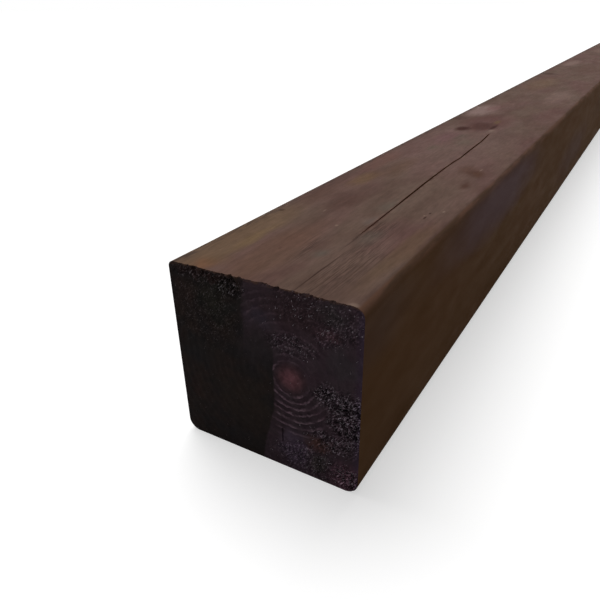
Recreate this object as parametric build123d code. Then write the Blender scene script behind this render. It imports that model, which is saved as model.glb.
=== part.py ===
from build123d import *
import os
from itertools import pairwise
from math import radians, tan

# A planed, pressure-treated softwood post, lying on one of its long faces.
# Millimetres. The length runs along Y, the checked face is up, and the origin is on the
# floor under the middle of the post. Left and right are as seen from the near end, at -Y.

# Stock
section_width = 100.0
section_height = 100.0
length = 1800.0

# Arrises, each planed off on its own
top_left_arris = 3.0
top_right_arris = 5.0
bottom_left_arris = 6.0
bottom_right_arris = 6.5

# Near end: the saw ran a little out of square, so the right side ends further in
near_cut_skew_degrees = 1.8

# Heart of the tree, which the checks point at
heart_right_of_middle = 14.9
heart_above_floor = 54.9

# Drying check along the top face, from its near tip to its far one at the large knot
check_near_tip = 66.0
check_length = 280.0
check_opening = 1.2
check_depth = 27.0
check_right_of_middle = 13.5
check_drift = 8.0
check_course_shares = [
    # along the check, drift to the left, opening, depth
    (0.02, 0.01, 0.28, 0.20),
    (0.10, 0.11, 0.42, 0.50),
    (0.20, 0.22, 0.55, 0.75),
    (0.28, 0.33, 0.95, 0.90),
    (0.38, 0.46, 1.00, 1.00),
    (0.50, 0.55, 0.80, 1.00),
    (0.59, 0.58, 0.75, 0.95),
    (0.65, 0.49, 0.70, 0.90),
    (0.70, 0.56, 1.00, 0.85),
    (0.80, 0.66, 0.95, 0.80),
    (0.88, 0.72, 1.00, 0.65),
    (0.95, 0.89, 0.85, 0.40),
    (0.98, 0.97, 0.50, 0.20),
]

# Short check in the near end, below the heart
end_check_above_floor = 19.0
end_check_right_of_middle = 9.6
end_check_height = 11.0
end_check_opening = 0.7
end_check_depth = 9.0

# How far the cuts start outside the wood
overrun = 2.0


def near_end_at(right_of_middle):
    """Where the near sawn face lies along Y, at a place across the post."""
    from_long_side = section_width / 2 + right_of_middle
    return -length / 2 + from_long_side * tan(radians(near_cut_skew_degrees))


def cross_plane(along):
    """A plane across the post, with its X to the right and its Y up."""
    return Plane(origin=(0, along, 0), x_dir=(1, 0, 0), z_dir=(0, -1, 0))


def planed_section():
    """The square outline with its four corners eased to their own radii."""
    half_width = section_width / 2
    corners = [
        (-half_width, section_height, top_left_arris),
        (half_width, section_height, top_right_arris),
        (-half_width, 0, bottom_left_arris),
        (half_width, 0, bottom_right_arris),
    ]
    outline = Rectangle(section_width, section_height, align=(Align.CENTER, Align.MIN))
    for across, up, radius in corners:
        corner = outline.vertices().sort_by_distance((across, up, 0))[0]
        outline = fillet(corner, radius)
    return outline


def planed_stock():
    """The stock as it leaves the planer, cut square at its far end."""
    return extrude(cross_plane(length / 2) * planed_section(), amount=length)


def saw_near_end(stock):
    """Cuts the near end off along the skewed line of the saw."""
    skew = radians(near_cut_skew_degrees)
    saw_line = Plane(
        origin=(0, near_end_at(0), 0),
        x_dir=(0, 0, 1),
        z_dir=(-tan(skew), 1, 0),
    )
    return split(stock, bisect_by=saw_line, keep=Keep.TOP)


def check_place(along_share, drift_share):
    """Where the check's line lies across and along the post, at a share of its course."""
    across = check_right_of_middle - check_drift * drift_share
    along = near_end_at(across) + check_near_tip + check_length * along_share
    return across, along


def check_station(along_share, drift_share, opening_share, depth_share):
    """One wedge-shaped section of the check, which points at the heart of the tree."""
    across, along = check_place(along_share, drift_share)
    mouth = Vector(across, section_height)
    heart = Vector(heart_right_of_middle, heart_above_floor)
    root = mouth + (heart - mouth).normalized() * (check_depth * depth_share)
    widening = 1 + overrun / (mouth - root).Y
    lip = root + (mouth - root) * widening
    half_opening = Vector(check_opening * opening_share * widening / 2, 0)
    wedge = make_face(Polyline(lip - half_opening, root, lip + half_opening, close=True))
    return cross_plane(along) * wedge


def check_tip(along_share, drift_share):
    """The point on the top face where the check closes to nothing."""
    return Vertex(*check_place(along_share, drift_share), section_height)


def drying_check():
    """The open drying check, straight from station to station and closed to a tip at each end."""
    stations = [check_station(*shares) for shares in check_course_shares]
    sections = [check_tip(0, 0), *stations, check_tip(1, 1)]
    spans = [loft(ends, ruled=True) for ends in pairwise(sections)]
    return Part() + spans


def end_check():
    """A hairline check in the near end that closes inside the post."""
    across = end_check_right_of_middle
    sawn_face = near_end_at(across)
    widening = 1 + overrun / end_check_depth
    mouth = Polyline(
        (0, end_check_height / 2),
        (-end_check_opening / 2, 0),
        (0, -end_check_height / 2),
        (end_check_opening / 2, 0),
        close=True,
    )
    place = cross_plane(sawn_face - overrun) * Pos(across, end_check_above_floor)
    outer = place * scale(make_face(mouth), widening)
    root = Vertex(across, sawn_face + end_check_depth, end_check_above_floor)
    return loft([outer, root], ruled=True)


def post():
    """The whole post: planed, sawn and dried until it checked."""
    return saw_near_end(planed_stock()) - drying_check() - end_check()


os.makedirs("parts", exist_ok=True)
export_step(post(), "parts/post.step")
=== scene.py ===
from math import cos, radians, sin, tan

import bpy
from mathutils import Matrix, Vector


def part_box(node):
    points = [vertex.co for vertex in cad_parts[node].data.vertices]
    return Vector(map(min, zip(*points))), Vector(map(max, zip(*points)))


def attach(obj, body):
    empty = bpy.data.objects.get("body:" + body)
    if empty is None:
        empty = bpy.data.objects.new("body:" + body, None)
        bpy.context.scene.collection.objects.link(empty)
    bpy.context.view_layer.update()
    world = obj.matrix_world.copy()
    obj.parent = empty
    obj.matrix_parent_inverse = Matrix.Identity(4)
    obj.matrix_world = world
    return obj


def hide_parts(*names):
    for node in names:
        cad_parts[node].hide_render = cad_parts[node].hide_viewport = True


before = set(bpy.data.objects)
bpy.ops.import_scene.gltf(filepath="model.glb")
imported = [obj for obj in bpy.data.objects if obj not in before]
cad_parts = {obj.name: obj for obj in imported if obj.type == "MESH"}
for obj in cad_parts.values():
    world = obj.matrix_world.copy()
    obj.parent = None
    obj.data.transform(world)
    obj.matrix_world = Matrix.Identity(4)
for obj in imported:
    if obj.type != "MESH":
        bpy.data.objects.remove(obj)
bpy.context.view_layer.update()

# The looks of a planed softwood post, treated with a brown preservative and sawn off rough.
# Sizes are in millimetres unless a name or comment says otherwise. A place is right of the
# post's middle, along it and up from the floor. Left and right are as seen from the near end.
MM = 0.001

# The post, as the frame gives it
low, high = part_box("post")
WIDTH, LENGTH, HEIGHT = ((high - low) / MM)[:]
NEAR_END = low.y / MM
FAR_END = high.y / MM

# The skew of the near saw cut, and the heart of the tree
CUT_SLOPE = tan(radians(1.8))
HEART_RIGHT = 14.9
HEART_UP = 54.9


def past_near_end(right, along):
    """A place along the post, counted from the skewed rim of the near end."""
    return NEAR_END + CUT_SLOPE * (WIDTH / 2 + right) + along


# Sizes that the timber is shaped by, and that its finish follows
TIMBER_SIZES = {
    "Width": WIDTH,
    "Length": LENGTH,
    "Height": HEIGHT,
    "Top left arris": 3.0,
    "Top right arris": 5.0,
    "Bottom left arris": 6.0,
    "Bottom right arris": 6.5,
    "Cut slope": CUT_SLOPE,
    "Check start": past_near_end(13.5, 66.0),
    "Check length": 280.0,
    "Check opening": 1.2,
    "Check depth": 27.0,
    "Check right": 13.5,
    "Check drift": 8.0,
    "End check right": 9.6,
    "End check up": 19.0,
    "End check height": 11.0,
    "End check opening": 0.7,
    "End check depth": 9.0,
    "Planing waves": 0.25,
    "End ring relief": 0.3,
    "Tear-out": 1.3,
    "Chip depth": 1.6,
    "Far fuzz room": 0.6,
}

# The drying check in the top face
CHECK_COURSE_SHARES = [
    # along the check, drift to the left, opening, depth
    (0.00, 0.00, 0.15, 0.00),
    (0.02, 0.01, 0.28, 0.20),
    (0.10, 0.11, 0.42, 0.50),
    (0.20, 0.22, 0.55, 0.75),
    (0.28, 0.33, 0.95, 0.90),
    (0.38, 0.46, 1.00, 1.00),
    (0.50, 0.55, 0.80, 1.00),
    (0.59, 0.58, 0.75, 0.95),
    (0.65, 0.49, 0.70, 0.90),
    (0.70, 0.56, 1.00, 0.85),
    (0.80, 0.66, 0.95, 0.80),
    (0.88, 0.72, 1.00, 0.65),
    (0.95, 0.89, 0.85, 0.40),
    (0.98, 0.97, 0.50, 0.20),
    (1.00, 1.00, 0.15, 0.00),
]

# Where each growth ring ends, counted out from the heart
RING_EDGES = [6.8, 10.3, 13.8, 17.5, 20.7, 24.6, 28.8, 32.8, 36.6, 40.4, 44.0, 48.0, 51.4, 55.6]
RING_EDGES += [59.2, 63.4, 67.0, 71.2, 76.0, 80.4, 85.8]
RING_REACH = 100.0

# Between which shares of a ring's width its late wood is hardest
LATE_WOOD_SHARES = (0.84, 0.88)

# A branch leaves the heart at its place along the post, at an angle counted from the right over
# the top, and leans towards the far end. Behind the heart, a place counts as that many radii
# further off.
BRANCH_LEAN = 20.0
FAR_OFF = 100.0
BRANCHES = [
    # along, angle in degrees, radius
    (385.0, 203.0, 11.0),
    (392.0, 290.0, 12.0),
    (850.0, 12.0, 11.0),
    (842.0, 140.0, 13.0),
    (856.0, 262.0, 9.0),
    (1245.0, 74.0, 12.0),
    (1238.0, 186.0, 10.0),
    (1252.0, 318.0, 13.0),
    (1610.0, 108.0, 10.0),
    (1602.0, 352.0, 12.0),
    (1618.0, 236.0, 11.0),
]

# Soft marks of weather, preservative and the near knot on the top face, and painted sheen,
# highlights and shade where a row says so. In this table and the next three, along is counted
# from the near rim, and core is the share of the reach that has the full colour.
TOP_STAINS_AND_PAINTED_LIGHT = [
    # place right and along, reach across and along, core, colour, strength
    # Painted sheen: the far part of the top made paler and rosier
    ((-8, 300), (58, 150), 0.3, "#67514c", 0.5),
    ((-39, 38), (16, 80), 0.4, "#624e3e", 0.95),
    ((-31, 44), (6, 30), 0.1, "#6a553f", 0.85),
    ((-39, 122), (14, 46), 0.2, "#543e36", 0.7),
    ((-33, 6), (9, 10), 0.2, "#6d4a35", 0.6),
    ((-30, 12), (12, 10), 0.2, "#5f4937", 0.5),
    ((-12, 34), (16, 62), 0.4, "#5c4437", 0.6),
    ((-18, 118), (17, 42), 0.1, "#4c3630", 0.85),
    ((8, 41), (6, 11), 0.0, "#4d4f48", 0.4),
    ((19, 70), (9, 18), 0.1, "#565148", 0.4),
    ((9, 91), (5, 9), 0.0, "#675c58", 0.4),
    ((9, 118), (9, 20), 0.1, "#565047", 0.45),
    ((34, 20), (16, 34), 0.2, "#4f3b34", 0.5),
    ((41, 60), (7, 60), 0.3, "#5d4938", 0.6),
    ((34, 179), (5, 13), 0.0, "#41291f", 0.75),
    ((33, 208), (8, 13), 0.1, "#442c1f", 0.85),
    ((29, 214), (6, 9), 0.0, "#40281c", 0.75),
    ((24, 220), (10, 17), 0.1, "#4c352b", 0.65),
    ((-30, 166), (10, 30), 0.2, "#604a34", 0.65),
    ((-20, 202), (12, 44), 0.2, "#584335", 0.5),
    ((-39, 216), (10, 44), 0.3, "#62453e", 0.6),
    ((-20, 272), (7, 14), 0.1, "#534a3f", 0.5),
    ((-3, 303), (12, 18), 0.1, "#5b5045", 0.5),
    ((-13, 322), (7, 18), 0.1, "#50483f", 0.5),
    ((-24, 316), (14, 42), 0.1, "#614546", 0.65),
    ((-14, 398), (28, 62), 0.3, "#543a36", 0.95),
    ((-9, 378), (17, 28), 0.2, "#432b26", 0.9),
    # Painted shade on the near side of the knot's swelling, over its dark rim
    ((-23, 360), (10, 15), 0.2, "#351c17", 1.0),
    ((1, 374), (4.5, 16), 0.1, "#331c17", 1.0),
    ((-41, 409), (9, 14), 0.2, "#47322d", 0.7),
    ((-2, 401), (4, 18), 0.1, "#604b33", 0.7),
    # Painted highlight where the check ends at the knot
    ((4, 357), (6, 11), 0.1, "#705c53", 0.85),
    ((-30, 346), (4, 12), 0.1, "#6e5653", 0.7),
    # Painted highlight on the far slope of the knot's swelling
    ((-34, 466), (20, 52), 0.3, "#7c6762", 0.9),
    ((-26, 482), (10, 30), 0.2, "#6a4c49", 0.6),
    ((22, 600), (20, 90), 0.2, "#705b54", 0.7),
    ((-20, 720), (26, 110), 0.2, "#624e3e", 0.7),
    ((12, 940), (30, 120), 0.2, "#543e36", 0.6),
    ((-28, 1040), (20, 80), 0.2, "#77625b", 0.7),
    ((26, 1160), (16, 90), 0.2, "#604b3b", 0.6),
    ((-10, 1390), (30, 100), 0.2, "#6d5850", 0.7),
    ((24, 1520), (18, 70), 0.2, "#50372f", 0.6),
    ((-30, 1680), (18, 80), 0.2, "#705b54", 0.7),
]

# The same on the faces beside it, which have kept more of their brown; the first row is partly
# painted sheen
SIDE_STAINS_AND_SHEEN = [
    # place right, along and up, reach across, along and up, core, colour, strength
    # Purple-grey high on the right side: partly its tone, partly painted sheen
    ((50, 220, 84), (9, 170, 28), 0.2, "#655156", 0.75),
    ((50, 16, 84), (9, 50, 24), 0.1, "#4e382c", 0.7),
    ((50, 600, 40), (9, 150, 34), 0.2, "#5a453e", 0.6),
    ((50, 900, 66), (9, 190, 34), 0.2, "#4e3828", 0.6),
    ((50, 1320, 36), (9, 160, 40), 0.2, "#634c3c", 0.6),
    ((-50, 150, 40), (9, 120, 40), 0.2, "#57423a", 0.6),
    ((-50, 620, 70), (9, 170, 34), 0.2, "#604a45", 0.6),
    ((-50, 1150, 30), (9, 220, 34), 0.2, "#4f3a2a", 0.6),
]

# Narrow marks on the top: nicks, lines in which the wood has opened a hair's width, and two
# painted highlights
NICKS_AND_HIGHLIGHTS = [
    # place right and along, reach across and along, core, colour, strength
    ((17.3, 22), (0.6, 35), 0.3, "#2b1b16", 0.75),
    ((14.2, 61), (0.6, 18), 0.2, "#34241f", 0.55),
    ((31.0, 36), (0.6, 32), 0.2, "#35241d", 0.6),
    ((33.1, 42), (0.5, 30), 0.2, "#3c2a24", 0.5),
    ((28.6, 30), (0.5, 22), 0.2, "#3c2a24", 0.5),
    ((26.4, 16), (0.5, 18), 0.2, "#3c2a24", 0.45),
    ((24.0, 14), (0.6, 19), 0.2, "#35241d", 0.55),
    ((22.5, 36), (0.5, 20), 0.2, "#3c2a24", 0.45),
    ((21.0, 24), (0.5, 26), 0.2, "#3c2a24", 0.5),
    ((35.8, 48), (0.5, 26), 0.2, "#3c2a24", 0.45),
    ((27.4, 72), (0.5, 24), 0.2, "#3c2a24", 0.4),
    ((23.2, 84), (0.5, 20), 0.2, "#3c2a24", 0.4),
    ((1.6, 36), (0.5, 26), 0.2, "#3f2d26", 0.5),
    ((-5.4, 54), (0.5, 16), 0.2, "#3f2d26", 0.5),
    ((33, 109.8), (0.9, 3.8), 0.2, "#301f19", 0.9),
    ((33, 117.8), (0.9, 2.2), 0.2, "#301f19", 0.9),
    ((31.6, 112.8), (0.7, 1.4), 0.2, "#7d695a", 0.7),
    ((38.8, 124), (1.0, 2.4), 0.2, "#7a665b", 0.7),
    ((-3.4, 77), (1.3, 2.0), 0.2, "#796558", 0.7),
    ((-20.8, 95.5), (0.9, 3.2), 0.2, "#735f54", 0.6),
    ((-42.8, 85), (2.4, 3.2), 0.2, "#3b2a20", 0.8),
    ((-12.4, 36.5), (1.0, 2.4), 0.2, "#45312a", 0.5),
    ((32.6, 221), (1.0, 5), 0.2, "#755f54", 0.7),
    # Painted highlight, the brightest spot beyond the knot
    ((-42, 481), (2.0, 7), 0.2, "#8a7a72", 0.7),
    # Painted highlight at the near right corner of the top
    ((44.5, 1), (3.5, 2.6), 0.2, "#7a675b", 0.6),
]

# Where the planed faces have dried out most, beside the ends
DRY_ZONES = [
    # place right, along and up, reach across, along and up
    ((26, 34, 100), (15, 62, 9)),
    ((-2, 40, 100), (5, 26, 9)),
    ((18, 82, 100), (12, 26, 9)),
    ((8, LENGTH, 100), (34, 60, 9)),
    ((50, LENGTH, 60), (9, 80, 24)),
    ((-50, LENGTH, 46), (9, 70, 30)),
    ((-50, 0, 52), (9, 50, 26)),
]

# Where the saw tore the end grain, and how badly
TORN_ZONES = [
    # place right and up, reach across and up, share
    ((45, 42), (14, 20), 1.0),
    ((34, 51), (10, 9), 0.9),
    ((37, 25), (16, 9), 0.65),
    ((24, 10), (26, 13), 0.45),
    ((44, 7), (11, 10), 0.85),
    ((30, 92), (36, 14), 0.22),
    ((40, 88), (13, 10), 0.35),
    ((33, 82), (9, 7), 0.35),
    ((16, 73), (17, 8), 0.4),
    ((-30, 79), (26, 28), 0.24),
    ((-17, 94), (10, 7), 0.75),
    ((-36, 97), (18, 5), 0.5),
]

# Soft tints of the sawn ends, where the preservative and the dirt on it differ
END_TINTS = [
    # place right and up, reach across and up, core, colour, strength
    ((16, 13), (12, 17), 0.2, "#645465", 0.8),
    ((44, 7), (13, 13), 0.1, "#825a69", 0.65),
    ((29, 22), (10, 7), 0.0, "#654337", 0.6),
    ((29, 9), (7, 10), 0.1, "#48453f", 0.55),
    ((34, 83), (9, 6), 0.0, "#65444a", 0.45),
    ((35, 93), (11, 8), 0.1, "#454542", 0.45),
    ((41, 70), (11, 12), 0.3, "#494246", 0.6),
    ((18, 90), (24, 16), 0.2, "#423235", 0.75),
    ((-1, 82), (11, 8), 0.0, "#4b4552", 0.5),
    ((-12, 32), (24, 22), 0.2, "#39312c", 0.6),
    ((-16, 8), (22, 10), 0.2, "#2f2d2e", 0.5),
    ((-38, 53), (15, 11), 0.1, "#2b2c2e", 0.5),
    ((-42, 30), (6, 14), 0.1, "#402f2b", 0.45),
    ((-26, 84), (14, 16), 0.1, "#31322a", 0.5),
    ((-42, 84), (9, 14), 0.1, "#3f302d", 0.5),
    ((-30, 98), (26, 5), 0.2, "#402d2b", 0.6),
    ((-3, 66), (15, 18), 0.1, "#3c3639", 0.7),
]

# Where the rings stand out pale on the sawn ends, and how clearly
RING_ZONES = [
    # place right and up, reach across and up, share
    ((16, 37), (22, 22), 1.0),
    ((7, 54), (7, 12), 0.8),
    ((17, 72), (18, 14), 0.35),
    ((0, 87), (16, 12), 0.4),
]

# Where the saw chipped the rims of the ends
CHIPS = [
    # place right, along and up, reach across, along and up
    ((-17, NEAR_END, 97), (16, 12, 6)),
    ((-34, NEAR_END, 99), (14, 12, 3)),
    ((20, NEAR_END, 100), (34, 12, 2.6)),
    ((12, FAR_END, 2), (30, 12, 5)),
]

# The saw dragged the torn fibres up and to the right
SAW_DRAG = Vector((0.62, 0.0, 0.78))

# How finely the timber is meshed: columns across and up the section, and rows along it.
# Rows lie close at both sawn ends, at a few millimetres along the check, and far apart elsewhere.
COLUMNS = 137
ROWS = 108
ROW_SHARES = [(0.0, 0.0), (0.056, 0.005), (0.6, 0.2), (0.944, 0.995), (1.0, 1.0)]

# Node kinds that are used often, with the settings for sums of numbers or of vectors, and for
# a range that starts and ends softly. A range gives 0 to 1 where it is given nothing else.
MATH = "ShaderNodeMath"
VECTOR_MATH = "ShaderNodeVectorMath"
MAP_RANGE = "ShaderNodeMapRange"
SEPARATE = "ShaderNodeSeparateXYZ"
COMBINE = "ShaderNodeCombineXYZ"
CURVE = "ShaderNodeFloatCurve"
COMPARE = "FunctionNodeCompare"
RANDOM = "FunctionNodeRandomValue"
SWITCH = "GeometryNodeSwitch"
SET_POSITION = "GeometryNodeSetPosition"
PLUS = {"operation": "ADD"}
MINUS = {"operation": "SUBTRACT"}
TIMES = {"operation": "MULTIPLY"}
OVER = {"operation": "DIVIDE"}
SMOOTH = {"interpolation_type": "SMOOTHSTEP"}


def linear(colour):
    """An sRGB hex colour as linear red, green, blue and alpha."""
    parts = [int(colour[i : i + 2], 16) / 255 for i in (1, 3, 5)]
    return [*(p / 12.92 if p <= 0.04045 else ((p + 0.055) / 1.055) ** 2.4 for p in parts), 1.0]


def add(kind, *values, tree=None, output=0, sockets=None, points=(), **settings):
    """Adds a node with its settings, feeds its inputs and returns one of its outputs.

    values fill the first inputs in order, where None leaves one alone, and sockets fills
    others by name or number. A value is a constant or the output that feeds the input. The
    node goes into the tree of those outputs, and a node with constants alone is given one.
    points are for a curve, which runs straight from one to the next."""
    feeds = {i: value for i, value in enumerate(values) if value is not None}
    feeds.update(sockets or {})
    links = {i: value for i, value in feeds.items() if isinstance(value, bpy.types.NodeSocket)}
    if tree is None:
        tree = next(iter(links.values())).id_data
    node = tree.nodes.new(kind)
    for name, value in settings.items():
        setattr(node, name, value)
    if points:
        curve = node.mapping.curves[0]
        curve.points[0].location = points[0]
        curve.points[-1].location = points[-1]
        for point in points[1:-1]:
            curve.points.new(*point)
        for point in curve.points:
            point.handle_type = "VECTOR"
        node.mapping.update()
    for socket, value in feeds.items():
        if socket in links:
            tree.links.new(value, node.inputs[socket])
        else:
            node.inputs[socket].default_value = value
    return node.outputs[output] if node.outputs else node


# Patterns that follow the wood. They are used both for relief and for colour, so they take a
# place in millimetres from either kind of tree.


def mottle(place, grain, detail=2.0, roughness=0.5, output=0):
    """Uneven spots from 0 to 1, so many millimetres across, along and up."""
    scaled = add(VECTOR_MATH, place, [1 / size for size in grain], **TIMES)
    return add("ShaderNodeTexNoise", output=output, sockets={
        "Vector": scaled, "Scale": 1.0, "Detail": detail, "Roughness": roughness})


def wavering(place, grain, waver):
    """A place pushed about by noise, so that what is drawn there gets an uneven outline."""
    push = mottle(place, grain, output=1)
    push = add(VECTOR_MATH, push, (0.5, 0.5, 0.5), **MINUS)
    return add(VECTOR_MATH, push, waver, place, operation="MULTIPLY_ADD")


def spot(place, middle, reach, core=0.0):
    """1 at a place in the wood, and inside a core share of its reach, falling softly to 0."""
    offset = add(VECTOR_MATH, place, middle, **MINUS)
    share = add(VECTOR_MATH, offset, reach, **OVER)
    share = add(VECTOR_MATH, share, operation="LENGTH", output=1)
    return add(MAP_RANGE, share, 1.0, core, **SMOOTH)


def section_spot(place, middle, reach, core):
    """A spot that runs through the whole length, with its middle and reach across and up."""
    flat = add(VECTOR_MATH, place, (1.0, 0.0, 1.0), **TIMES)
    return spot(flat, (middle[0], 0, middle[1]), (reach[0], 1, reach[1]), core)


def section_zones(place, zones, least):
    """The strongest of several zones of the section, each with its share, and at least so much."""
    total = least
    for middle, reach, share in zones:
        zone = section_spot(place, middle, reach, core=0.4)
        zone = add(MATH, zone, share, **TIMES)
        total = add(MATH, zone, total, operation="MAXIMUM")
    return total


def heart_distance(place):
    """How far a place lies from the heart of the tree, measured over the uneven rings."""
    along = add(SEPARATE, place).node.outputs[1]
    from_end = add(MAP_RANGE, along, NEAR_END, NEAR_END + 300, 0.0, 22.0, **SMOOTH)
    line = add(COMBINE, 0.0, along, 0.0)
    drift = mottle(line, (420, 420, 420), detail=1.0, output=1)
    drift = add(VECTOR_MATH, drift, (0.5, 0.5, 0.5), **MINUS)
    drift = add(VECTOR_MATH, drift, sockets={3: from_end}, operation="SCALE")
    offset = add(VECTOR_MATH, place, (HEART_RIGHT, 0.0, HEART_UP), **MINUS)
    offset = add(VECTOR_MATH, offset, drift, **PLUS)
    offset = add(VECTOR_MATH, offset, (1.0, 0.0, 1.0), **TIMES)
    distance = add(VECTOR_MATH, offset, operation="LENGTH", output=1)
    wobble = mottle(place, (20, 240, 20), detail=4.0, roughness=0.6)
    wobble = add(MAP_RANGE, wobble, 0.0, 1.0, -1.8, 1.8)
    return add(MATH, wobble, distance, **PLUS)


def knot_distance(place):
    """How far a place lies from the nearest branch's middle, as a share of that branch's radius."""
    nearest = None
    for along, angle, radius in BRANCHES:
        turn, lean = radians(angle), radians(BRANCH_LEAN)
        direction = Vector((cos(turn) * cos(lean), sin(lean), sin(turn) * cos(lean)))
        surfacing = Vector((0, sin(lean) * WIDTH / 2, 0))
        start = Vector((HEART_RIGHT, NEAR_END + along, HEART_UP)) - surfacing
        offset = add(VECTOR_MATH, place, start, **MINUS)
        beside = add(VECTOR_MATH, offset, direction, operation="CROSS_PRODUCT")
        beside = add(VECTOR_MATH, beside, operation="LENGTH", output=1)
        share = add(MATH, beside, radius, **OVER)
        ahead = add(VECTOR_MATH, offset, direction, operation="DOT_PRODUCT", output=1)
        behind = add(MATH, ahead, 0.0, operation="LESS_THAN")
        share = add(MATH, behind, FAR_OFF, share, operation="MULTIPLY_ADD")
        nearest = share if nearest is None else add(MATH, nearest, share, operation="MINIMUM")
    return nearest


def ring_line(distance, start):
    """Growth rings: 0 in early wood, rising to 1 at the hard late wood that ends each ring."""
    share = add(MATH, distance, RING_REACH, **OVER)
    edges = [0.0, *RING_EDGES, RING_REACH]
    last = len(edges) - 1
    counted = [(edge / RING_REACH, i / last) for i, edge in enumerate(edges)]
    count = add(CURVE, 1.0, share, points=counted)
    count = add(MATH, count, last, **TIMES)
    share = add(MATH, count, operation="FRACT")
    rise = add(MAP_RANGE, share, start, LATE_WOOD_SHARES[0], **SMOOTH)
    fall = add(MAP_RANGE, share, LATE_WOOD_SHARES[1], 1.0, 1.0, 0.0, **SMOOTH)
    return add(MATH, rise, fall, **TIMES)


def course_curve(share, column):
    """A column of the drying check's course, at a share of its length."""
    return add(CURVE, 1.0, share, points=[(row[0], row[column]) for row in CHECK_COURSE_SHARES])


def check_course(place, size):
    """How far along the drying check a place lies, as a share, and where the check's middle runs."""
    along = add(SEPARATE, place).node.outputs[1]
    past_tip = add(MATH, along, size["Check start"], **MINUS)
    share = add(MATH, past_tip, size["Check length"], **OVER, use_clamp=True)
    drift = add(MATH, course_curve(share, 1), size["Check drift"], **TIMES)
    middle = add(MATH, size["Check right"], drift, **MINUS)
    line = add(COMBINE, 0.0, along, 0.0)
    ragged = add(MAP_RANGE, mottle(line, (7, 7, 7)), 0.2, 0.8, -0.2, 0.2)
    return share, add(MATH, middle, ragged, **PLUS)


def check_beside(place, size):
    """How far a place lies beside the drying check's middle, and how far along it, as a share."""
    share, middle = check_course(place, size)
    right = add(SEPARATE, place).node.outputs[0]
    beside = add(MATH, right, middle, **MINUS)
    return add(MATH, beside, operation="ABSOLUTE"), share


def dark_left_share(place):
    """How much darker the sawn ends are made: 1 left of a sharp line, less at the top."""
    place = wavering(place, (6, 50, 6), (2.0, 0.0, 3.0))
    right, _, up = add(SEPARATE, place).node.outputs
    edge = add(MAP_RANGE, up, 0.0, 42.0, -1.8, 5.9, **SMOOTH)
    past = add(MATH, right, edge, **MINUS)
    sharp = add(MAP_RANGE, past, -0.5, 0.5, 1.0, 0.0)
    thinning = add(MAP_RANGE, up, 58.0, 82.0, 1.0, 0.1, **SMOOTH)
    sharp = add(MATH, sharp, thinning, **TIMES)
    soft = add(MAP_RANGE, right, -11.0, -7.0, 1.0, 0.0, **SMOOTH)
    return add(MATH, sharp, soft, operation="MAXIMUM")


def torn_share(place):
    """How roughly the saw left the end grain: 1 torn and hairy, 0 cut smooth."""
    place = wavering(place, (9, 50, 9), (9.0, 0.0, 9.0))
    return section_zones(place, TORN_ZONES, 0.02)


def torn_hairs(place):
    """The drag of the saw in the end grain: high on the hairs it tore up, low in the pits."""
    lean = SAW_DRAG.angle(Vector((0, 0, 1)))
    turned = add("ShaderNodeVectorRotate", place, sockets={"Angle": -lean}, rotation_type="Y_AXIS")
    return mottle(turned, (0.8, 30, 1.6), roughness=0.6)


# Geometry. The trees work in millimetres, and turn to metres at the end.


def new_tree(name, sizes):
    """A geometry tree with named number inputs, and the outputs that give them inside it."""
    tree = bpy.data.node_groups.new(name, "GeometryNodeTree")
    tree.interface.new_socket("Geometry", in_out="INPUT", socket_type="NodeSocketGeometry")
    for size in sizes:
        tree.interface.new_socket(size, in_out="INPUT", socket_type="NodeSocketFloat")
    tree.interface.new_socket("Geometry", in_out="OUTPUT", socket_type="NodeSocketGeometry")
    return tree, tree.nodes.new("NodeGroupInput").outputs


def in_scene(name, data):
    """A new object in the scene, with its mesh, lamp or lens."""
    thing = bpy.data.objects.new(name, data)
    bpy.context.scene.collection.objects.link(thing)
    return thing


def made_by(tree, name, mesh, sizes):
    """A plain mesh object that a tree makes from a mesh and named sizes."""
    maker = in_scene(name, mesh)
    modifier = maker.modifiers.new(tree.name, "NODES")
    modifier.node_group = tree
    for item in tree.interface.items_tree:
        if item.in_out == "INPUT" and item.name in sizes:
            modifier[item.identifier] = sizes[item.name]
    evaluated = maker.evaluated_get(bpy.context.evaluated_depsgraph_get())
    made = bpy.data.meshes.new_from_object(evaluated)
    maker.modifiers.clear()
    maker.data = made
    made.name = name
    return maker


def half(size):
    """Half of a size."""
    return add(MATH, size, 0.5, **TIMES)


def timber_blank(tree, size):
    """The square blank on the floor, with its two sawn ends marked."""
    box_size = add(COMBINE, size["Width"], size["Length"], size["Height"])
    geometry = add("GeometryNodeMeshCube", box_size, COLUMNS, ROWS, COLUMNS)
    rise = add(COMBINE, 0.0, 0.0, half(size["Height"]))
    geometry = add(SET_POSITION, geometry, sockets={"Offset": rise})
    normal = add("GeometryNodeInputNormal", tree=tree)
    facing = add(VECTOR_MATH, normal, (0.0, 1.0, 0.0), operation="DOT_PRODUCT", output=1)
    facing = add(MATH, facing, operation="ABSOLUTE")
    is_end = add(COMPARE, facing, 0.9, operation="GREATER_THAN")
    return add("GeometryNodeStoreNamedAttribute", geometry, sockets={
        "Name": "sawn_end", "Value": is_end}, data_type="BOOLEAN", domain="FACE")


# Steps that shape the blank. Each tells how far it moves a place.


def rows_spaced(place, size):
    """Moves the rows of the blank together at its ends and along the check."""
    along = add(SEPARATE, place).node.outputs[1]
    share = add(MATH, along, size["Length"], **OVER)
    share = add(MATH, share, 0.5, **PLUS)
    spaced = add(CURVE, 1.0, share, points=ROW_SHARES)
    spaced = add(MATH, spaced, 0.5, **MINUS)
    spaced = add(MATH, spaced, size["Length"], **TIMES)
    moved = add(MATH, spaced, along, **MINUS)
    return add(COMBINE, 0.0, moved, 0.0)


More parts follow.
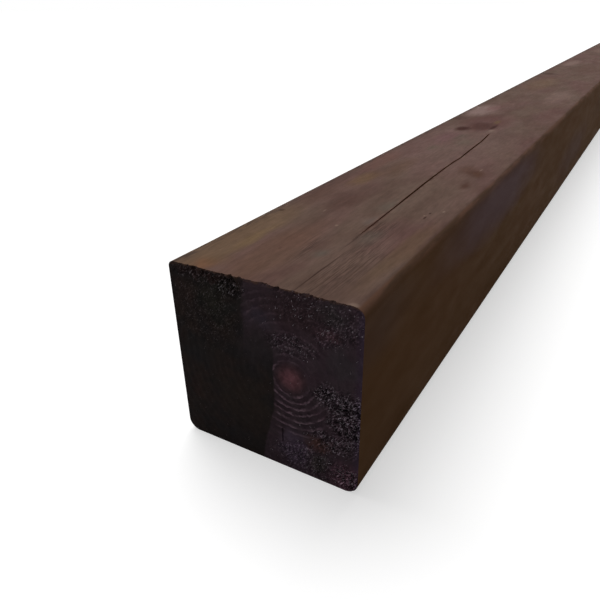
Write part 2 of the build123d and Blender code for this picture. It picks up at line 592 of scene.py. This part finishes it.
def past_arc_middle(place, radius, size):
    """A place from the post's axis, and how far it lies past the middle of an arris's arc."""
    half_height = half(size["Height"])
    axis = add(COMBINE, 0.0, 0.0, half_height)
    from_axis = add(VECTOR_MATH, place, axis, **MINUS)
    middle_right = add(MATH, half(size["Width"]), radius, **MINUS)
    middle_up = add(MATH, half_height, radius, **MINUS)
    middle = add(COMBINE, middle_right, size["Length"], middle_up)
    outward = add(VECTOR_MATH, from_axis, operation="ABSOLUTE")
    outward = add(VECTOR_MATH, outward, middle, **MINUS)
    return from_axis, add(VECTOR_MATH, outward, (0.0, 0.0, 0.0), operation="MAXIMUM")


def arrises_eased(place, size):
    """Turns each corner of the section into an arc of its own radius."""
    right, _, up = add(SEPARATE, place).node.outputs
    is_right = add(COMPARE, right, 0.0, operation="GREATER_THAN")
    is_top = add(COMPARE, up, half(size["Height"]), operation="GREATER_THAN")
    radii = []
    for side in ("left", "right"):
        bottom, top = size[f"Bottom {side} arris"], size[f"Top {side} arris"]
        radii.append(add(SWITCH, is_top, bottom, top, input_type="FLOAT"))
    radius = add(SWITCH, is_right, *radii, input_type="FLOAT")
    from_axis, outward = past_arc_middle(place, radius, size)
    across, _, over = add(SEPARATE, outward).node.outputs
    square = add(MATH, across, over, operation="MAXIMUM")
    length = add(VECTOR_MATH, outward, operation="LENGTH", output=1)
    shrink = add(MATH, square, length, **OVER)
    shrink = add(MATH, shrink, 1.0, **MINUS)
    offset = add(VECTOR_MATH, outward, sockets={3: shrink}, operation="SCALE")
    sides = add(VECTOR_MATH, from_axis, operation="SIGN")
    return add(VECTOR_MATH, offset, sides, **TIMES)


def columns_led(right, size, name, middle, opening, pinch, follow):
    """name is the check's size for its place across; pinch and follow are how many columns are
    drawn in, and how many are led along. Gives the columns' shift, and their count from the
    check, without a sign."""
    column = add(MATH, size["Width"], COLUMNS - 1, **OVER)
    base = add(MATH, size[name], column, operation="SNAP")
    beside = add(MATH, right, base, **MINUS)
    count = add(MATH, beside, column, **OVER)
    count = add(MATH, count, operation="ABSOLUTE")
    tight = add(MATH, opening, column, **OVER)
    tight = add(MATH, tight, 0.5 / pinch[0], **TIMES)
    spread = add(MAP_RANGE, count, *pinch, tight, 1.0, **SMOOTH)
    closing = add(MATH, spread, 1.0, **MINUS)
    closing = add(MATH, closing, beside, **TIMES)
    led = add(MAP_RANGE, count, *follow, 1.0, 0.0, **SMOOTH)
    lead = add(MATH, middle, base, **MINUS)
    shift = add(MATH, lead, led, closing, operation="MULTIPLY_ADD")
    return shift, count


def check_opened(place, size):
    """Leads the nearest columns along the drying check and sinks them into a wedge."""
    right, _, up = add(SEPARATE, place).node.outputs
    share, middle = check_course(place, size)
    opening = add(MATH, course_curve(share, 2), size["Check opening"], **TIMES)
    shift, count = columns_led(right, size, "Check right", middle, opening,
                               pinch=(2.0, 10.0), follow=(4.0, 40.0))
    height = add(MATH, up, size["Height"], **OVER)
    near_top = add(MAP_RANGE, height, 0.6, 0.99, **SMOOTH)
    shift = add(MATH, shift, near_top, **TIMES)
    wedge = add(MAP_RANGE, count, 2.0, 0.0, 0.0, size["Check depth"])
    wedge = add(MATH, wedge, course_curve(share, 3), **TIMES)
    on_top = add(COMPARE, near_top, 1.0, operation="GREATER_EQUAL")
    wedge = add(MATH, wedge, on_top, **TIMES)
    mouth = add(COMBINE, middle, 0.0, size["Height"])
    inward = add(VECTOR_MATH, (HEART_RIGHT, 0.0, HEART_UP), mouth, **MINUS)
    inward = add(VECTOR_MATH, inward, operation="NORMALIZE")
    inward = add(VECTOR_MATH, inward, sockets={3: wedge}, operation="SCALE")
    offset = add(COMBINE, shift, 0.0, 0.0)
    return add(VECTOR_MATH, offset, inward, **PLUS)


def end_check_opened(place, size):
    """Sinks one column of the near sawn face into a hairline check below the heart."""
    right, along, up = add(SEPARATE, place).node.outputs
    from_middle = add(MATH, up, size["End check up"], **MINUS)
    share = add(MATH, from_middle, half(size["End check height"]), **OVER)
    share = add(MATH, share, operation="ABSOLUTE")
    share = add(MATH, 1.0, share, **MINUS, use_clamp=True)
    # Only the near face, which is still flat, lies this far back
    near_face = add(MATH, size["Length"], -0.4999, **TIMES)
    on_face = add(MATH, along, near_face, operation="LESS_THAN")
    share = add(MATH, share, on_face, **TIMES)
    shift, count = columns_led(right, size, "End check right", size["End check right"],
                               size["End check opening"], pinch=(1.0, 5.0), follow=(1.0, 6.0))
    shift = add(MATH, shift, share, **TIMES)
    sink = add(MAP_RANGE, count, 0.9, 0.1, 0.0, size["End check depth"])
    sink = add(MATH, sink, share, **TIMES)
    return add(COMBINE, shift, sink, 0.0)


def planed_relief(place, size):
    waves = mottle(place, (14, 90, 14))
    depth = add(MATH, waves, size["Planing waves"], **TIMES)
    beside, _ = check_beside(place, size)
    clear = add(MAP_RANGE, beside, 0.8, 4.0)
    depth = add(MATH, depth, clear, **TIMES)
    along = add(SEPARATE, place).node.outputs[1]
    from_middle = add(MATH, along, operation="ABSOLUTE")
    past_middle = add(MATH, from_middle, size["Length"], **OVER)
    clear = add(MAP_RANGE, past_middle, 0.486, 0.5, 1.0, 0.0)
    depth = add(MATH, depth, clear, **TIMES)
    normal = add("GeometryNodeInputNormal", tree=place.id_data)
    inward = add(VECTOR_MATH, normal, (-1.0, 0.0, -1.0), **TIMES)
    return add(VECTOR_MATH, inward, sockets={3: depth}, operation="SCALE")


def sawn_relief(place, size):
    """Skews the near end, and sinks both ends by torn fibres, rings and the saw's bites."""
    right, along, _ = add(SEPARATE, place).node.outputs
    half_length = half(size["Length"])
    from_end = add(MATH, along, operation="ABSOLUTE")
    from_end = add(MATH, half_length, from_end, **MINUS)
    late = ring_line(heart_distance(place), start=0.5)
    rings = add(MAP_RANGE, late, 0.0, 1.0, size["End ring relief"], 0.0)
    pits = add(MAP_RANGE, torn_hairs(place), 0.62, 0.34, 0.0, size["Tear-out"])
    pits = add(MATH, pits, torn_share(place), **TIMES)
    depth = add(MATH, rings, pits, **PLUS)
    _, outward = past_arc_middle(place, size["Top right arris"], size)
    outward = add(VECTOR_MATH, outward, operation="LENGTH", output=1)
    from_rim = add(MATH, size["Top right arris"], outward, **MINUS)
    crisp_rim = add(MAP_RANGE, from_rim, 0.0, 1.2)
    depth = add(MATH, depth, crisp_rim, **TIMES)
    bites = mottle(place, (2.6, 50, 2.6), detail=3.0, roughness=0.65)
    bites = add(MAP_RANGE, bites, 0.46, 0.66, 0.0, size["Chip depth"])
    for middle, reach in CHIPS:
        zone = spot(place, middle, reach, core=0.4)
        depth = add(MATH, zone, bites, depth, operation="MULTIPLY_ADD")
    is_far = add(MATH, along, 0.0, operation="GREATER_THAN")
    depth = add(MATH, is_far, size["Far fuzz room"], depth, operation="MULTIPLY_ADD")
    fade = add(MAP_RANGE, from_end, 0.0, 7.0, 1.0, 0.0)
    depth = add(MATH, depth, fade, **TIMES)
    side = add(MATH, along, operation="SIGN")
    depth = add(MATH, depth, side, **TIMES)
    from_long_side = add(MATH, right, half(size["Width"]), **PLUS)
    skew = add(MATH, from_long_side, size["Cut slope"], **TIMES)
    near = add(MATH, along, half_length, **PLUS)
    near = add(MAP_RANGE, near, 0.0, 60.0, 1.0, 0.0)
    skew = add(MATH, skew, near, **TIMES)
    moved = add(MATH, skew, depth, **MINUS)
    return add(COMBINE, 0.0, moved, 0.0)


def timber_tree(planed, sawn):
    """A square blank that is eased, opened, planed and sawn into the post."""
    tree, size = new_tree("planed_and_sawn_timber", TIMBER_SIZES)
    geometry = timber_blank(tree, size)
    place = add("GeometryNodeInputPosition", tree=tree)
    for step in (rows_spaced, arrises_eased, check_opened, end_check_opened, planed_relief, sawn_relief):
        geometry = add(SET_POSITION, geometry, sockets={"Offset": step(place, size)})
    geometry = add("GeometryNodeTransform", geometry, sockets={"Scale": (MM, MM, MM)})
    geometry = add("GeometryNodeRealizeInstances", geometry)
    geometry = add("GeometryNodeSetMaterial", geometry, sockets={"Material": planed})
    cut = add("GeometryNodeInputNamedAttribute", "sawn_end", tree=tree, data_type="BOOLEAN")
    geometry = add("GeometryNodeSetMaterial", geometry, cut, sockets={"Material": sawn})
    add("NodeGroupOutput", geometry)
    return tree


def timber(planed, sawn):
    """The post itself, closed and in one piece."""
    blank = bpy.data.meshes.new("blank")
    piece = made_by(timber_tree(planed, sawn), "treated_post", blank, TIMBER_SIZES)
    piece.data.shade_smooth()
    piece.data.set_sharp_from_angle(angle=radians(50))
    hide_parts("post")
    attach(piece, "root")
    return piece


FIBRE_SIZES = {
    "Width": WIDTH,
    "Length": LENGTH,
    "Height": HEIGHT,
    "Fibres per square millimetre": 1.5,
    "Shortest fibre": 0.4,
    "Longest fibre": 2.4,
    "Thinnest fibre": 0.16,
    "Thickest fibre": 0.42,
}
FIBRE_SEED = 5


def fibres_strewn(tree, sawn_post, size):
    """Slivers of wood on the torn parts of the sawn ends, in clumps, lying as the saw dragged them."""
    is_end = add("GeometryNodeInputNamedAttribute", "sawn_end", tree=tree, data_type="BOOLEAN")
    place = add("GeometryNodeInputPosition", tree=tree)
    clumps = add(MAP_RANGE, mottle(place, (3, 50, 3)), 0.38, 0.66, 0.0, 1.6)
    density = add(MATH, torn_share(place), clumps, **TIMES)
    density = add(MATH, density, size["Fibres per square millimetre"], **TIMES)
    points = add("GeometryNodeDistributePointsOnFaces", sawn_post, is_end, sockets={
        "Density": density, "Seed": FIBRE_SEED})
    # A three-sided spike with a length and thickness of 1, to be scaled and turned
    sliver = add("GeometryNodeMeshCone", 3, 1, 1, 0.0, 0.5, 1.0, tree=tree, fill_type="NGON")
    astray = add(RANDOM, (-0.7, 0.0, -0.7), (0.7, 0.0, 0.7), tree=tree,
                 sockets={"Seed": 1}, data_type="FLOAT_VECTOR")
    lying = add(VECTOR_MATH, astray, SAW_DRAG, **PLUS)
    lift = add(RANDOM, tree=tree, sockets={2: 0.05, 3: 0.5, "Seed": 2}, output=1)
    outward = points.node.outputs["Normal"]
    lift = add(VECTOR_MATH, outward, sockets={3: lift}, operation="SCALE")
    lying = add(VECTOR_MATH, lying, lift, **PLUS)
    turned = add("FunctionNodeAlignRotationToVector", sockets={"Vector": lying}, axis="Z")
    share = add(RANDOM, tree=tree, sockets={"Seed": 3}, output=1)
    share = add(MATH, share, 2.0, operation="POWER")
    long = add(MAP_RANGE, share, 0.0, 1.0, size["Shortest fibre"], size["Longest fibre"])
    thick = add(RANDOM, sockets={
        2: size["Thinnest fibre"], 3: size["Thickest fibre"], "Seed": 4}, output=1)
    return add("GeometryNodeInstanceOnPoints", points, sockets={
        "Instance": sliver, "Rotation": turned, "Scale": add(COMBINE, thick, thick, long)})


def held_inside(tree, geometry, size):
    """Presses what stands out of the post's box back onto its faces."""
    upper = add(COMBINE, half(size["Width"]), half(size["Length"]), size["Height"])
    lower = add(VECTOR_MATH, upper, (-1.0, -1.0, 0.0), **TIMES)
    place = add("GeometryNodeInputPosition", tree=tree)
    place = add(VECTOR_MATH, place, upper, operation="MINIMUM")
    place = add(VECTOR_MATH, place, lower, operation="MAXIMUM")
    return add(SET_POSITION, geometry, sockets={"Position": place})


def fibres_tree(torn_wood):
    """Torn fibres on the sawn ends of a post."""
    tree, size = new_tree("torn_fibres", FIBRE_SIZES)
    sawn_post = add("GeometryNodeTransform", size["Geometry"], sockets={"Scale": (1 / MM,) * 3})
    geometry = fibres_strewn(tree, sawn_post, size)
    geometry = add("GeometryNodeRealizeInstances", geometry)
    geometry = held_inside(tree, geometry, size)
    geometry = add("GeometryNodeTransform", geometry, sockets={"Scale": (MM, MM, MM)})
    geometry = add("GeometryNodeSetMaterial", geometry, sockets={"Material": torn_wood})
    add("NodeGroupOutput", geometry)
    return tree


def torn_fibres(post, torn_wood):
    """The fuzz of torn fibres on both sawn ends."""
    piece = made_by(fibres_tree(torn_wood), "torn_fibres", post.data, FIBRE_SIZES)
    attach(piece, "root")


# Materials


def empty_tree(holder):
    """The node tree of a new material or world, with nothing in it."""
    holder.use_nodes = True
    holder.node_tree.nodes.clear()
    return holder.node_tree


def new_material(name):
    """A material, and the place in millimetres on the piece that wears it."""
    material = bpy.data.materials.new(name)
    place = add("ShaderNodeTexCoord", tree=empty_tree(material), output=3)
    return material, add(VECTOR_MATH, place, sockets={3: 1 / MM}, operation="SCALE")


def laid_over(colour, tone, share, strength=1.0):
    """A colour under a coat of another tone, as thick as a share and its strength say."""
    tone = linear(tone) if isinstance(tone, str) else tone
    if strength != 1.0:
        share = add(MATH, share, strength, **TIMES)
    return add("ShaderNodeMix", share, sockets={6: colour, 7: tone}, output=2, data_type="RGBA")


def toned(place, grain, low, high, first, second):
    """A colour that runs from one tone to another as a mottle of this grain runs from low to high."""
    share = add(MAP_RANGE, mottle(place, grain), low, high)
    return laid_over(linear(first), second, share)


def shaded_by(colour, pattern, low, high, darkest, lightest):
    """A colour made darker or lighter by a pattern that runs from low to high."""
    shade = add(MAP_RANGE, pattern, low, high, darkest, lightest)
    return add(VECTOR_MATH, colour, shade, **TIMES)


def on_top_face(marks, reach_up):
    """A table of marks on the top face, with the height and the reach up that they all have."""
    return [((*place, HEIGHT), (*reach, reach_up), *look) for place, reach, *look in marks]


def marked(colour, place, marks):
    """A colour with a table of marks laid over it: stain, nick, painted sheen, highlight or shade."""
    for (right, along, up), reach, core, tone, strength in marks:
        share = spot(place, (right, past_near_end(right, along), up), reach, core)
        colour = laid_over(colour, tone, share, strength)
    return colour


def tinted(colour, place, tints):
    """A colour with a table of soft tints laid over it, which run through the whole length."""
    for middle, reach, core, tone, strength in tints:
        share = section_spot(place, middle, reach, core)
        colour = laid_over(colour, tone, share, strength)
    return colour


def dry_share(place):
    """How much the planed faces have dried out and opened into hairlines."""
    place = wavering(place, (9, 30, 9), (8.0, 24.0, 0.0))
    total = 0.0
    for (right, along, up), reach in DRY_ZONES:
        zone = spot(place, (right, past_near_end(right, along), up), reach, core=0.2)
        total = add(MATH, zone, total, operation="MAXIMUM")
    return total


def finished(colour, roughness, gloss, **relief):
    """Ends a material's tree with its colour, roughness and gloss, and its relief if it has one."""
    sockets = {"Base Color": colour, "Roughness": roughness, "Specular IOR Level": gloss}
    if relief:
        sockets["Normal"] = add("ShaderNodeBump", sockets=relief)
    add("ShaderNodeOutputMaterial", add("ShaderNodeBsdfPrincipled", sockets=sockets))


def planed_softwood():
    """Planed softwood, dipped in brown preservative.

    It gives the eye a dull, patchy red-brown film that the weather has bleached greyer and
    tan on top, through which rings, fibres and knots only just show. The sides are a warmer,
    darker and more even brown."""
    material, place = new_material("planed_brown_treated_softwood")
    rosy = toned(place, (30, 80, 30), 0.4, 0.62, "#5e433e", "#57463a")
    weathered = toned(place, (16, 44, 16), 0.4, 0.6, "#523e39", "#604d46")
    colour = laid_over(rosy, weathered, 0.55)
    stains_and_painted_light = on_top_face(TOP_STAINS_AND_PAINTED_LIGHT, reach_up=9)
    colour = marked(colour, wavering(place, (12, 30, 12), (7.0, 16.0, 7.0)), stains_and_painted_light)
    blotches = mottle(place, (5, 12, 5), detail=3.0, roughness=0.6)
    colour = shaded_by(colour, blotches, 0.3, 0.7, 0.92, 1.08)

    # Fibres are 0.05 mm thick in softwood; drawn at 0.7 mm, because finer ones don't show
    fibres = mottle(place, (0.7, 34, 0.7))
    colour = shaded_by(colour, fibres, 0.3, 0.7, 0.95, 1.05)
    weather = mottle(place, (1.5, 8, 1.5), roughness=0.6)
    colour = shaded_by(colour, weather, 0.3, 0.7, 0.9, 1.1)

    # Rings swell round a knot, and the film hides most of them
    knot = knot_distance(place)
    swell = add(MAP_RANGE, knot, 3.0, 0.9, 0.0, 7.0, **SMOOTH)
    swollen = add(MATH, heart_distance(place), swell, **PLUS)
    rings = ring_line(swollen, start=0.35)
    thin_film = add(MAP_RANGE, mottle(place, (22, 130, 22)), 0.45, 0.65, 0.05, 0.8)
    shown = add(MATH, rings, thin_film, **TIMES)
    colour = shaded_by(colour, shown, 0.0, 1.0, 1.01, 0.9)
    knot_rings = add(MATH, knot, 5.0, **TIMES)
    knot_rings = add(MATH, knot_rings, operation="SINE")
    in_knot = add(MAP_RANGE, knot_rings, -1.0, 1.0, 0.35, 0.6)
    at_knot = add(MAP_RANGE, knot, 1.25, 0.8, **SMOOTH)
    in_knot = add(MATH, in_knot, at_knot, **TIMES)
    colour = laid_over(colour, "#36241e", in_knot)

    dry = dry_share(place)
    dashes = mottle(place, (0.5, 7, 0.5), detail=1.0)
    dashes = add(MATH, dashes, mottle(place, (1.2, 80, 1.2)), **TIMES)
    colour = laid_over(colour, shaded_by(colour, dashes, 0.16, 0.28, 0.66, 1.1), dry)
    nicks_and_highlights = on_top_face(NICKS_AND_HIGHLIGHTS, reach_up=6)
    colour = marked(colour, wavering(place, (9, 26, 9), (0.9, 0.0, 0.9)), nicks_and_highlights)

    # The lips of the drying check are paler. Painted shade darkens its edges and fills it dark
    # inside, also where it is too narrow for the mesh
    beside, share = check_beside(place, TIMBER_SIZES)
    right, _, up = add(SEPARATE, place).node.outputs
    ends = [(0.0, 0.0), (0.06, 0.8), (0.28, 0.9), (0.36, 1.0), (0.97, 1.0), (1.0, 0.0)]
    ends = add(CURVE, 1.0, share, points=ends)
    in_top = add(MATH, up, HEIGHT - 30, operation="GREATER_THAN")
    ends = add(MATH, ends, in_top, **TIMES)
    lips = add(MAP_RANGE, mottle(place, (3, 8, 3)), 0.48, 0.6, 0.0, 0.5)
    lips = add(MATH, lips, add(MAP_RANGE, beside, 2.4, 1.0), **TIMES)
    colour = laid_over(colour, "#7a655a", lips, ends)
    shadow = add(MAP_RANGE, beside, 1.8, 0.5, 0.0, 0.5)
    colour = laid_over(colour, "#4a2c23", shadow, ends)
    line = add(MAP_RANGE, beside, 0.9, 0.3, 0.0, 0.9)
    colour = laid_over(colour, "#321710", line, ends)

    # The top darkens in fine patches along the left arris
    left_edge_darkening = add(MAP_RANGE, mottle(place, (1.2, 9, 1.2), detail=3.0), 0.42, 0.6, 0.75, 0.0)
    patchy = add(MAP_RANGE, mottle(place, (9, 50, 9)), 0.4, 0.6, 0.3, 1.0)
    left_edge_darkening = add(MATH, left_edge_darkening, patchy, **TIMES)
    at_left = add(MAP_RANGE, right, 9 - WIDTH / 2, 4 - WIDTH / 2)
    colour = laid_over(colour, "#352b28", left_edge_darkening, at_left)

    # Less light has bleached the sides
    facing = add("ShaderNodeTexCoord", tree=place.id_data, output=1)
    facing_up = add(SEPARATE, facing).node.outputs[2]
    sheltered = add(MAP_RANGE, facing_up, 0.99, 0.86, **SMOOTH)
    brown = toned(place, (40, 120, 40), 0.35, 0.65, "#563a20", "#593e25")
    brown = marked(brown, wavering(place, (20, 60, 20), (14.0, 40.0, 14.0)), SIDE_STAINS_AND_SHEEN)
    arris = add(MAP_RANGE, facing_up, 0.2, 0.7, 0.0, 0.8)
    rubbed = toned(place, (4, 30, 4), 0.42, 0.58, "#433227", "#5c4236")
    brown = laid_over(brown, rubbed, arris)
    colour = laid_over(colour, brown, sheltered, 0.9)

    height = add(MATH, dry, 2.0, 0.5, operation="MULTIPLY_ADD")
    height = add(MATH, fibres, height, **TIMES)
    roughness = add(MAP_RANGE, mottle(place, (9, 30, 9)), 0.3, 0.7, 0.78, 0.92)
    finished(colour, roughness, 0.04, Strength=0.3, Distance=0.12 * MM, Height=height)
    return material


def sawn_end_grain():
    """End grain, sawn rough and soaked dark with preservative.

    It gives the eye an almost black purple-brown, with a red heart, pale thin rings below it,
    a still darker smooth part on the left, and flecks and pits where the saw tore the fibres."""
    material, place = new_material("rough_sawn_treated_end_grain")
    distance = heart_distance(place)
    brown = toned(place, (15, 50, 15), 0.38, 0.62, "#4d3c43", "#483c42")
    violet = toned(place, (7, 50, 7), 0.4, 0.6, "#483840", "#504248")
    colour = laid_over(brown, violet, 0.5)

    # The red heart, brightest in its middle
    blotches = mottle(place, (3.2, 50, 3.2), detail=3.0, roughness=0.6)
    heart = add(MAP_RANGE, distance, 7.0, 1.4, **SMOOTH)
    heart = laid_over(linear("#533c41"), "#84585f", heart)
    heart = shaded_by(heart, blotches, 0.36, 0.64, 0.75, 1.25)
    at_heart = add(MAP_RANGE, distance, 10.0, 5.5, **SMOOTH)
    colour = laid_over(colour, heart, at_heart)

    # Rings show as ragged pale and dark lines where the saw cut them clean
    ragged = add(MAP_RANGE, mottle(place, (2.2, 50, 2.2)), 0.2, 0.8, -0.7, 0.7)
    rings = ring_line(add(MATH, distance, ragged, **PLUS), start=0.5)
    clear = section_zones(wavering(place, (9, 50, 9), (6.0, 0.0, 6.0)), RING_ZONES, 0.05)
    breaks = add(MAP_RANGE, mottle(place, (3.6, 50, 3.6)), 0.4, 0.6, 0.15, 1.0)
    breaks = add(MATH, breaks, clear, **TIMES)
    past_heart = add(MAP_RANGE, distance, 6.6, 8.4, 0.12, 1.0)
    breaks = add(MATH, breaks, past_heart, **TIMES)
    colour = laid_over(colour, shaded_by(colour, rings, 0.0, 1.0, 0.7, 3.6), breaks)

    # The darker left part, in patches of olive, black and red-brown
    olive = toned(place, (17, 50, 17), 0.4, 0.6, "#302b2b", "#372f2c")
    black = toned(place, (8, 50, 8), 0.42, 0.6, "#372d2b", "#2b2829")
    dark_left = laid_over(olive, black, 0.5)
    colour = laid_over(colour, dark_left, dark_left_share(place))
    colour = tinted(colour, wavering(place, (6, 50, 6), (12.0, 0.0, 12.0)), END_TINTS)
    right, _, up = add(SEPARATE, place).node.outputs
    at_rim = add(MAP_RANGE, right, WIDTH / 2 - 4, WIDTH / 2 - 1)
    colour = laid_over(colour, "#50405e", at_rim, 0.28)

    # Wood rubbed bare along the top rim
    bare = add(MAP_RANGE, mottle(place, (3, 50, 1.6), detail=3.0), 0.44, 0.58, 0.1, 0.8)
    at_rim = add(MAP_RANGE, up, HEIGHT - 1.8, HEIGHT - 0.5)
    colour = laid_over(colour, "#6b4f42", bare, at_rim)

    # Torn fibres leave pale hairs between dark pits
    hairs = torn_hairs(place)
    torn = torn_share(place)
    rough = mottle(place, (3.5, 50, 4.5), detail=3.0, roughness=0.65)
    colour = shaded_by(colour, rough, 0.35, 0.65, 0.88, 1.12)
    # In the torn parts the dark clumps are partly painted shade
    colour = laid_over(colour, shaded_by(colour, rough, 0.4, 0.6, 0.28, 1.55), torn)
    # The near-black in the pits is painted shade
    pits = add(MAP_RANGE, hairs, 0.5, 0.43)
    colour = laid_over(colour, "#0c090b", pits, torn)
    # Pale flecks: partly paler torn wood, partly painted highlights where the hairs catch light
    flecks = add(MAP_RANGE, hairs, 0.56, 0.65, 0.0, 0.9)
    colour = laid_over(colour, shaded_by(colour, flecks, 0.0, 1.0, 1.0, 4.5), torn)
    clumps = add(MAP_RANGE, rough, 0.44, 0.58, 0.05, 1.0)
    flecks = add(MATH, flecks, clumps, **TIMES)
    flecks = add(MATH, flecks, torn, **TIMES)
    colour = laid_over(colour, "#cdc6d4", flecks, torn)
    height = add(MATH, hairs, torn, **TIMES)
    finished(colour, 0.9, 0.03, Strength=0.6, Distance=0.6 * MM, Height=height)
    return material


def torn_softwood():
    """Fresh torn fibres of softwood that took up less preservative.

    They give the eye pale lilac-grey flecks and hairs on the dark end grain; the pale tone is
    partly painted highlight, for the light that the hairs catch."""
    material, place = new_material("torn_softwood_fibres")
    colour = toned(place, (1.6, 20, 1.6), 0.4, 0.62, "#4e4249", "#c6b9c2")
    colour = laid_over(colour, "#4a403f", dark_left_share(place), 0.8)
    finished(colour, 0.9, 0.1)
    return material


# Stage, light and camera


def seen_directly(tree):
    """1 for what the camera sees, straight or in a reflection or through glass."""
    rays = add("ShaderNodeLightPath", tree=tree).node.outputs
    seen = add(MATH, rays["Is Camera Ray"], rays["Is Glossy Ray"], operation="MAXIMUM")
    return add(MATH, seen, rays["Is Transmission Ray"], operation="MAXIMUM")


# How far the floor reaches to each side, in metres
FLOOR_REACH = 40.0


def studio_floor():
    """A pale floor that shows white and still takes the post's shadow."""
    mesh = bpy.data.meshes.new("studio_floor")
    near, far = -FLOOR_REACH, FLOOR_REACH
    corners = [(near, near, 0), (far, near, 0), (far, far, 0), (near, far, 0)]
    mesh.from_pydata(corners, [], [(0, 1, 2, 3)])
    floor = in_scene("studio_floor", mesh)
    material = bpy.data.materials.new("pale_studio_floor")
    seen = seen_directly(empty_tree(material))
    colour = laid_over(linear("#909090"), "#cdcdcd", seen)
    matt = add("ShaderNodeBsdfDiffuse", colour)
    glow = add(MATH, seen, 0.55, **TIMES)
    glow = add("ShaderNodeEmission", (1.0, 1.0, 1.0, 1.0), glow)
    add("ShaderNodeOutputMaterial", add("ShaderNodeAddShader", matt, glow))
    mesh.materials.append(material)


def studio_light():
    """One broad soft lamp above and behind the post, and an even dim room."""
    lamp = bpy.data.lights.new("overhead_softbox", "SUN")
    lamp.energy = 2.7
    lamp.angle = radians(50)
    holder = in_scene("overhead_softbox", lamp)
    holder.rotation_euler = Vector((-0.36, 0.32, 0.9)).to_track_quat("Z", "Y").to_euler()
    world = bpy.data.worlds.new("studio_room")
    seen = seen_directly(empty_tree(world))
    strength = add(MAP_RANGE, seen, 0.0, 1.0, 0.2, 1.0)
    back = add("ShaderNodeBackground", (1.0, 1.0, 1.0, 1.0), strength)
    add("ShaderNodeOutputWorld", back)
    bpy.context.scene.world = world


# The camera as it stood, fitted to the edges of the post in the 600 pixel frame. Its turn,
# tilt and roll are in degrees.
CAMERA_RIGHT = 127.0
CAMERA_ALONG = -166.4
CAMERA_UP = 203.6
CAMERA_TURN = 32.2
CAMERA_DOWN = 28.19
CAMERA_ROLL = -1.02
FOCAL_PIXELS = 551.0
FRAME_PIXELS = 600.0
SENSOR_WIDTH = 36.0


def photo_camera():
    """A camera at the viewing angle of the photograph."""
    turn, down, roll = radians(CAMERA_TURN), radians(CAMERA_DOWN), radians(CAMERA_ROLL)
    forward = Vector((-sin(turn) * cos(down), cos(turn) * cos(down), -sin(down)))
    level = forward.cross(Vector((0, 0, 1))).normalized()
    upright = level.cross(forward)
    right = cos(roll) * level + sin(roll) * upright
    up = cos(roll) * upright - sin(roll) * level
    lens = bpy.data.cameras.new("photo_camera")
    lens.sensor_width = SENSOR_WIDTH
    lens.lens = FOCAL_PIXELS / FRAME_PIXELS * SENSOR_WIDTH
    lens.clip_start = 0.01
    holder = in_scene("photo_camera", lens)
    holder.matrix_world = Matrix((right, up, -forward)).transposed().to_4x4()
    holder.location = Vector((CAMERA_RIGHT, NEAR_END + CAMERA_ALONG, CAMERA_UP)) * MM
    bpy.context.scene.camera = holder


bpy.context.scene.view_settings.view_transform = "Standard"
post = timber(planed_softwood(), sawn_end_grain())
torn_fibres(post, torn_softwood())
studio_floor()
studio_light()
photo_camera()
